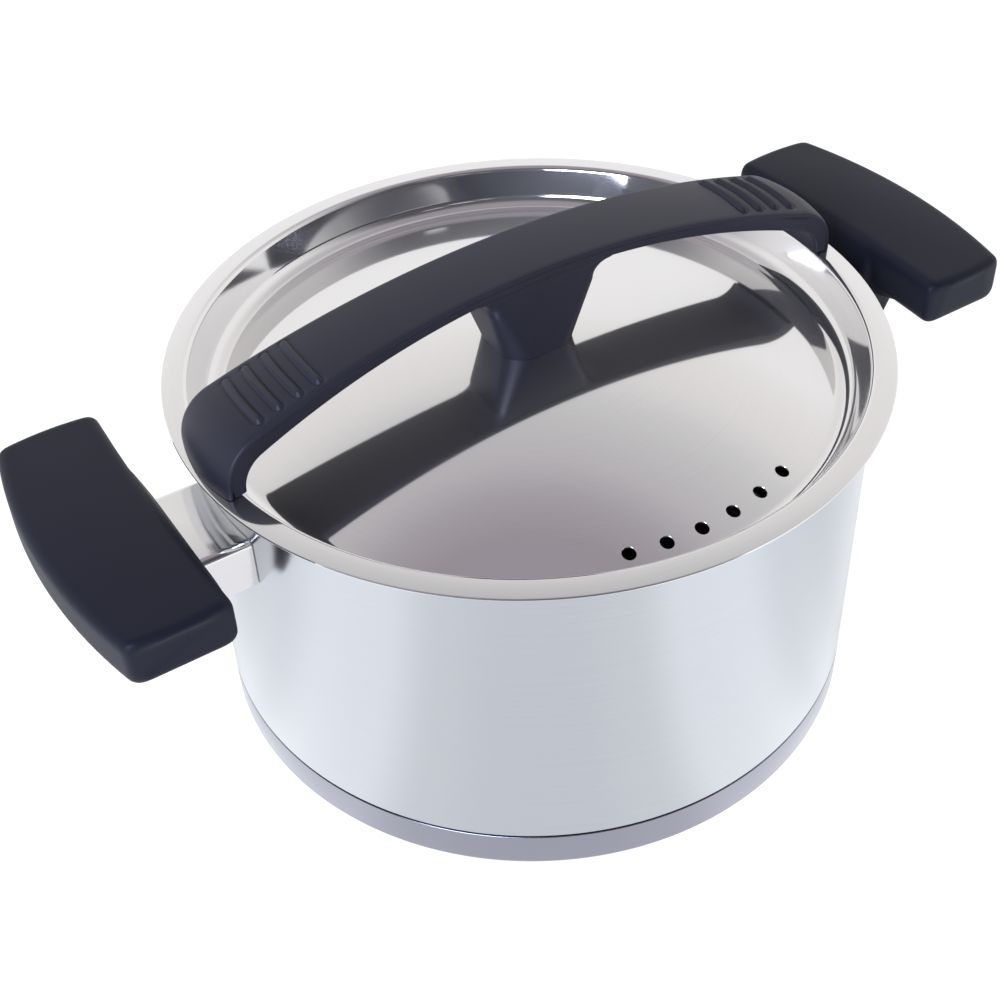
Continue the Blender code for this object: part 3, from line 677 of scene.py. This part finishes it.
def strap_ring(pair, section):
    """Place a section, given as (y, depth above the inner face), at one station of the strap."""
    outer, inner = Vector(pair[0]), Vector(pair[1])
    up = (outer - inner).normalized()
    slope = FOOT_SLOPE if outer.y <= STRAP_FOOT else 0.0
    ring = []
    for y, depth in section:
        at = inner + up * depth
        curve = math.sqrt(1 - (y / STRAP_END_X) ** 2)
        ring.append((at.x * curve, y, at.y - slope * min(1.0, max(0.0, depth / STRAP_END_DEPTH))))
    return ring


def rib_lift(x, y):
    """Height that the ribs add to the strap's top: bars with round ends, each in a shallow channel."""
    for index in range(RIB_COUNT):
        place = STRAP_END_X - RIB_END_INSET - RIB_PITCH * index
        past = max(0.0, abs(y) - RIB_HALF_LENGTH + RIB_WIDTH / 2)
        away = math.hypot(abs(x) - place, past) / (RIB_WIDTH / 2)
        if away < 1:
            return (RIB_HEIGHT + RIB_MOAT) * math.cos(away * math.pi / 2) ** RIB_FULLNESS - RIB_MOAT
        if away < RIB_MOAT_REACH:
            return -RIB_MOAT * (1 - smooth_step(1.0, RIB_MOAT_REACH, away))
    return 0.0


def make_strap(material):
    cover_rings, body_rings = [], []
    for pair in strap_stations():
        x = pair[0][0]
        half = strap_half_width(x)
        depth = (Vector(pair[0]) - Vector(pair[1])).length
        fade = smooth_step(CREASE_FADE_X - CREASE_FADE, CREASE_FADE_X + CREASE_FADE, abs(x))
        crease = CREASE_DEPTH * (1 - fade)

        bottom = depth - STRAP_COVER_DEPTH + SEAM_GAP / 2
        crown = COVER_CROWN + COVER_END_CROWN * (x / STRAP_END_X) ** 2
        edge = depth - crown - COVER_ROUND
        section = [(half - STRAP_SIDE_SKIN, bottom), (half, bottom)]
        section += [(half - crease * share, edge - CREASE_PITCH * step) for step, share in CREASE_PROFILE]
        for turn in range(0, 91, 15):
            away = half - COVER_ROUND * (1 - math.cos(math.radians(turn)))
            drop = COVER_ROUND * (1 - math.sin(math.radians(turn)))
            section.append((away, depth - crown - drop))
        inside = half - COVER_ROUND
        for step in range(1, STRAP_ACROSS_STEPS // 2 + 1):
            y = inside * (1 - 2 * step / STRAP_ACROSS_STEPS)
            section.append((y, depth - crown * (y / half) ** 2 + rib_lift(x, y)))
        section += [(-y, z) for y, z in section[-2::-1]]
        cover_rings.append(strap_ring(pair, section))

        seam = depth - STRAP_COVER_DEPTH - SEAM_GAP / 2
        under = rounded_path([
            (-half, seam, 0.0), (-half, 0.0, STRAP_EDGE), (half, 0.0, STRAP_EDGE), (half, seam, 0.0),
        ], 5)
        wall = half - STRAP_SIDE_SKIN
        channel = [(wall, seam), (wall, STRAP_SKIN), (-wall, STRAP_SKIN), (-wall, seam)]
        body_rings.append(strap_ring(pair, under + channel))
    cover = loft("strap_cover_moulded", cover_rings)
    body = loft("strap_body_moulded", body_rings)
    combine(body, "UNION", [make_post()])
    for piece, node in ((cover, "strap_cover"), (body, "strap_body")):
        set_material(piece, material)
        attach(piece, "lid")
        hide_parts(node)


def make_post():
    """Post from the lid's dome up into the strap, spreading at its top."""
    under = STRAP_CREST - STRAP_MIDDLE_DEPTH
    arc_end = STRAP_END_X - STRAP_END_DEPTH - STRAP_UNDER_ROUND
    drop = under - STRAP_UNDER_ROUND - STRAP_UNDER_STRAIGHT - STRAP_FOOT
    under_radius = (arc_end ** 2 + drop ** 2) / (2 * drop) + STRAP_UNDER_ROUND
    top_half_length = POST_TOP_HALF_LENGTH + POST_FLARE_REACH
    top = under - top_half_length ** 2 / (2 * under_radius)
    bottom = LID_LEVEL + LID_DOME_RISE + POST_CLEARANCE
    flare_bottom = top - POST_FLARE_RISE
    levels = []
    for step in range(9):
        share = step / 8
        half_length = POST_HALF_LENGTH + (POST_TOP_HALF_LENGTH - POST_HALF_LENGTH) * share
        corner = POST_CORNER + (POST_TOP_CORNER - POST_CORNER) * share
        levels.append((bottom + (flare_bottom - bottom) * share, half_length, corner))
    for turn in range(10, 91, 10):
        rise = math.sin(math.radians(turn))
        spread = 1 - math.cos(math.radians(turn))
        half_length = POST_TOP_HALF_LENGTH + POST_FLARE_REACH * spread
        levels.append((flare_bottom + POST_FLARE_RISE * rise, half_length, POST_TOP_CORNER))
    levels.append((under + POST_SINK, top_half_length, POST_TOP_CORNER))
    half_width = STRAP_HALF_WIDTH - POST_SIDE_INSET
    rings = []
    for index, (z, half_length, corner) in enumerate(levels):
        ring = rounded_rectangle(-half_length, half_length, -half_width, half_width, corner, 10)
        falls = [0.0] * len(ring)
        if index == 0:
            falls = [LID_DOME_RISE - dome_height(math.hypot(x, y)) for x, y in ring]
        rings.append([(x, y, z - fall) for (x, y), fall in zip(ring, falls)])
    return loft("add_post", rings)


# ---------------------------------------------------------------- brackets and grips

def make_bracket(prefix, side, material):
    """Folded channel against the pot wall, with softly rounded folds."""
    bottom = BRACKET_BOTTOM
    half = BRACKET_HALF_WIDTH
    inside = half - BRACKET_SHEET
    under = BRACKET_TOP - BRACKET_SHEET
    fold = BRACKET_ROUND - BRACKET_SHEET
    outline = rounded_path([
        (-half, bottom, EDGE_ROUND),
        (-half, BRACKET_TOP, BRACKET_ROUND),
        (half, BRACKET_TOP, BRACKET_ROUND),
        (half, bottom, EDGE_ROUND),
        (inside, bottom, EDGE_ROUND),
        (inside, under, fold),
        (-inside, under, fold),
        (-inside, bottom, EDGE_ROUND),
    ], 8)
    inside_wall = POT_RADIUS - half
    rings = [[(side * x, y, z) for y, z in outline] for x in (inside_wall, BRACKET_END)]
    bracket = loft(prefix + "_bracket_polished", rings)
    weld = POT_RADIUS + GAP
    low, high = bottom - 1, BRACKET_TOP + 1
    cut = [(0.0, low), (weld, low), (weld, high), (0.0, high)]
    combine(bracket, "DIFFERENCE", [turned("cut_wall", cut)])
    bracket.data.set_sharp_from_angle(angle=SMOOTH_ANGLE)
    set_material(bracket, material)
    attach(bracket, "pot")
    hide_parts(prefix + "_bracket")


def grip_section(y):
    """Outline of the bar in (distance from the axis, z, end bow) at one place along it."""
    reach = min(1.0, abs(y) / GRIP_HALF_LENGTH)
    bulge = 1 - reach ** 2
    past = max(0.0, abs(y) - GRIP_HALF_LENGTH + GRIP_END_ROUND) / GRIP_END_ROUND
    shrink = GRIP_END_ROUND * (1 - math.sqrt(max(0.0, 1 - past ** 2)))
    left = GRIP_INNER - GRIP_INNER_BOW * reach ** 2 + shrink
    right = GRIP_INNER + GRIP_DEPTH + GRIP_BULGE * bulge - shrink
    low = GRIP_BOTTOM + shrink
    high = GRIP_TOP - shrink
    steps = 8
    outline = rounded_rectangle(left, right, low, high, GRIP_ROUND, steps)
    top_right = 3 * (steps + 1)
    flat = right - left - 2 * GRIP_ROUND
    top_row = []
    for step in range(1, GRIP_TOP_STEPS + 1):
        top_row.append((left + GRIP_ROUND + flat * (1 - step / (GRIP_TOP_STEPS + 1)), high))
    ring = []
    for x, z in outline[:top_right] + top_row + outline[top_right:]:
        away = (2 * x - left - right) / (right - left)
        share = (z - low) / (high - low)
        ring.append((x, z + GRIP_CROWN * bulge * share * (1 - away ** 2), 1 - away ** 2))
    return ring


def neck_ring(z):
    """Half of the neck's plan at one level, from its face to its back: (x, y) points."""
    half = NECK_HALF_WIDTH
    lean = (z - NECK_BOTTOM) / (NECK_TOP - NECK_BOTTOM)
    face = NECK_FACE + (GRIP_INNER - NECK_FACE) * lean ** NECK_FACE_CURVE
    rise = min(1.0, (z - NECK_BOTTOM) / (GRIP_BOTTOM - NECK_BOTTOM))
    growth = smooth_step(GRIP_BOTTOM - NECK_FILLET_RISE, GRIP_BOTTOM, z)
    spread = NECK_FILLET * growth
    start = face + NECK_CORNER
    end = max(GRIP_INNER, start) + GRIP_ROUND / 2
    points = [(face, half - NECK_CORNER), (face + NECK_CORNER / 3, half - NECK_CORNER / 3)]
    for turn in range(0, 91, 10):
        angle = math.radians(turn)
        points.append((start + (end - start) * math.sin(angle), half + spread * (1 - math.cos(angle))))
    points.append((NECK_BACK + NECK_BACK_SLOPE * rise, half + spread))
    return points


def make_grip(prefix, side, material):
    """Bar and neck in one moulding: joined, remeshed fine and smoothed so that they blend."""
    flat = GRIP_HALF_LENGTH - GRIP_END_ROUND
    stations = [flat * step / GRIP_STEPS for step in range(GRIP_STEPS + 1)]
    stations += [flat + GRIP_END_ROUND * math.sin(math.radians(turn)) for turn in range(10, 91, 10)]
    stations = [-y for y in stations[:0:-1]] + stations
    rings = []
    for y in stations:
        bow = GRIP_END_BOW * (y / GRIP_HALF_LENGTH) ** 3
        rings.append([(side * x, y + bow * crown, z) for x, z, crown in grip_section(y)])
    grip = loft(prefix + "_grip_moulded", rings)

    rings = []
    for step in range(GRIP_STEPS + 1):
        z = NECK_BOTTOM + (NECK_TOP - NECK_BOTTOM) * step / GRIP_STEPS
        half_plan = neck_ring(z)
        plan = half_plan + [(x, -y) for x, y in half_plan[::-1]]
        rings.append([(side * x, y, z) for x, y in plan])
    combine(grip, "UNION", [loft("add_neck", rings)])

    remesh = grip.modifiers.new("remesh", "REMESH")
    remesh.mode = "VOXEL"
    remesh.voxel_size = GRIP_VOXEL * MM
    smooth = grip.modifiers.new("smooth", "SMOOTH")
    smooth.factor = 0.5
    smooth.iterations = GRIP_SMOOTHING
    bake_modifiers(grip)

    pocket_half = BRACKET_HALF_WIDTH + GAP
    ends = sorted((side * POT_RADIUS, side * (BRACKET_END + 1)))
    pocket = block("cut_pocket", *ends, -pocket_half, pocket_half, BRACKET_BOTTOM - GAP, BRACKET_TOP + GAP)
    below = NECK_BOTTOM - 1
    outline = [
        (0.0, below), (WASHER_CLEAR, below), (WASHER_CLEAR, WASHER_SEAT),
        (SCREW_CLEAR, WASHER_SEAT), (SCREW_CLEAR, BRACKET_BOTTOM), (0.0, BRACKET_BOTTOM),
    ]
    combine(grip, "DIFFERENCE", [pocket, turned("cut_screw", outline, 48, (side * SCREW_X, 0.0))])
    grip.data.shade_smooth()
    grip.data.set_sharp_from_angle(angle=GRIP_SHARP_ANGLE)
    set_material(grip, material)
    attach(grip, "pot")
    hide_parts(prefix + "_grip")


# ---------------------------------------------------------------- studio

def make_floor():
    """Pale sweep under and behind the object, bright enough to hold no shadow of its own."""
    bm = bmesh.new()
    signs = ((-1, -1), (1, -1), (1, 1), (-1, 1))
    bm.faces.new([bm.verts.new((x * FLOOR_REACH, y * FLOOR_REACH, 0.0)) for x, y in signs])
    floor = finish("studio_floor", bm)
    floor.location.z = -FLOOR_DROP * MM
    material = bpy.data.materials.new("studio_floor")
    material.use_nodes = True
    nodes = Nodes(material.node_tree)
    shader = material.node_tree.nodes["Principled BSDF"]
    shader.inputs["Base Color"].default_value = (FLOOR_TONE, FLOOR_TONE, FLOOR_TONE, 1.0)
    shader.inputs["Roughness"].default_value = 0.9
    shader.inputs["Specular IOR Level"].default_value = 0.0
    _, _, angle, _ = turned_coordinates(nodes)
    front = math.radians(CAMERA_AZIMUTH - 90)
    facing = nodes.math("COSINE", nodes.math("SUBTRACT", angle, front))
    glow = nodes.ramp(nodes.math("MULTIPLY_ADD", facing, 0.5, 0.5), FLOOR_GLOW, "EASE")
    nodes.link(glow, shader.inputs["Emission Color"])
    shader.inputs["Emission Strength"].default_value = 1.0
    floor.data.materials.append(material)


def make_world():
    """Studio around the object: pale walls, a softer ceiling and a dark end with light strips."""
    world = bpy.data.worlds.new("studio")
    bpy.context.scene.world = world
    world.use_nodes = True
    nodes = Nodes(world.node_tree)
    direction = nodes.add("ShaderNodeTexCoord").outputs["Generated"]
    split = nodes.add("ShaderNodeSeparateXYZ")
    nodes.link(direction, split.inputs[0])
    x, y, z = split.outputs
    elevation = nodes.math("DIVIDE", nodes.math("ARCSINE", z), math.pi / 2)
    front = Vector((math.sin(math.radians(CAMERA_AZIMUTH)), -math.cos(math.radians(CAMERA_AZIMUTH))))
    flat = nodes.math("MAXIMUM", nodes.length(x, y), 0.001)
    along = nodes.math("ADD", nodes.math("MULTIPLY", x, front.x), nodes.math("MULTIPLY", y, front.y))
    facing = nodes.math("DIVIDE", along, flat)
    across = nodes.math("ADD", nodes.math("MULTIPLY", x, -front.y), nodes.math("MULTIPLY", y, front.x))
    across = nodes.math("DIVIDE", across, flat)

    back_wall = nodes.ramp(elevation, BACK_WALL)
    front_wall = nodes.ramp(elevation, FRONT_WALL)
    to_front = nodes.ramp(nodes.math("MULTIPLY_ADD", facing, 0.5, 0.5), [(0.42, 0.0), (0.85, 1.0)], "EASE")
    color = nodes.mix(to_front, back_wall, front_wall)

    for place, width, low, high, glow in STRIPS:
        here = nodes.ramp(nodes.math("MULTIPLY_ADD", across, 0.5, 0.5), [
            (place - width, 0.0), (place - width / 2, 1.0), (place + width / 2, 1.0), (place + width, 0.0),
        ])
        tall = nodes.ramp(elevation, [
            (low - STRIP_EDGE, 0.0), (low, 1.0), (high, 1.0), (high + STRIP_EDGE, 0.0),
        ])
        mask = nodes.math("MULTIPLY", nodes.math("MULTIPLY", here, tall), to_front)
        color = nodes.mix(mask, color, (glow, glow, glow * 1.02))
    background = world.node_tree.nodes["Background"]
    nodes.link(color, background.inputs["Color"])
    background.inputs["Strength"].default_value = 1.0


def add_softbox(name, place, target, width, height, power, color):
    light = bpy.data.lights.new(name, "AREA")
    light.shape = "RECTANGLE"
    light.size = width
    light.size_y = height
    light.energy = power
    light.color = color
    obj = bpy.data.objects.new(name, light)
    obj.location = place
    obj.rotation_euler = (Vector(target) - Vector(place)).to_track_quat("-Z", "Y").to_euler()
    bpy.context.scene.collection.objects.link(obj)


def make_camera():
    """Camera above the front left, with the casserole filling the frame."""
    data = bpy.data.cameras.new("camera")
    data.sensor_width = 36.0
    data.lens = CAMERA_LENS
    data.clip_start = 0.05
    data.clip_end = 50.0
    camera = bpy.data.objects.new("camera", data)
    bpy.context.scene.collection.objects.link(camera)
    forward = Vector(CAMERA_FORWARD).normalized()
    camera.location = Vector(CAMERA_PLACE)
    turn = forward.to_track_quat("-Z", "Y").to_matrix()
    camera.rotation_euler = (turn @ Matrix.Rotation(math.radians(CAMERA_ROLL), 3, "Z")).to_euler()
    bpy.context.scene.camera = camera


def main():
    make_camera()
    lid_steel = steel("lid_steel", (0.74, 0.725, 0.725), 0.055, "radius", 0.00045, 0.02, haze=0.9)
    body_steel = steel("polished_steel", (0.485, 0.505, 0.535), 0.17, "z", 0.0006, 0.06)
    # The base capsule's steel is darker and bluer than the body's: painted shade, standing in for the shaded
    # floor it would reflect near its foot.
    base_steel = steel("base_steel", (0.31, 0.312, 0.365), 0.2, "z", 0.0005, 0.06)
    bracket_steel = steel("bracket_steel", (0.72, 0.71, 0.71), 0.09, "z", 0.0008, 0.05)
    fastener_steel = plain_metal("fastener_steel", (0.62, 0.63, 0.65), 0.3, 900.0)
    aluminium = plain_metal("core_aluminium", (0.76, 0.76, 0.78), 0.4, 500.0)
    brass = plain_metal("insert_brass", (0.75, 0.58, 0.27), 0.32, 900.0)
    strap_plastic = moulded_plastic("strap_plastic", (0.0180, 0.0180, 0.029), 0.46, 0.38)
    grip_plastic = moulded_plastic("grip_plastic", (0.0080, 0.0092, 0.0190), 0.48, 0.22)
    # Near-black steel for the lap wall in the groove between body and base: painted shade in the groove.
    groove_shade_steel = plain_metal("groove_shade_steel", (0.05, 0.05, 0.055), 0.6, 900.0)

    make_pot(body_steel, base_steel, groove_shade_steel)
    make_lid(lid_steel)
    make_strap(strap_plastic)
    for prefix, side in (("left", -1), ("right", 1)):
        make_bracket(prefix, side, bracket_steel)
        make_grip(prefix, side, grip_plastic)

    finishes = {"fastener_steel": fastener_steel, "core_aluminium": aluminium, "insert_brass": brass}
    slot_of = {part["node"]: part["material_slot"] for part in frame["record"]["subparts"]}
    for node, obj in frame["nodes"].items():
        if slot_of[node] in finishes:
            set_material(obj, finishes[slot_of[node]])

    make_floor()
    make_world()
    add_softbox("front_left", (-1.2, -0.8, 0.8), (0.0, 0.0, 0.1), 0.7, 0.9, 26.0, (0.72, 0.79, 1.0))
    bpy.context.scene.view_settings.view_transform = "Standard"


main()
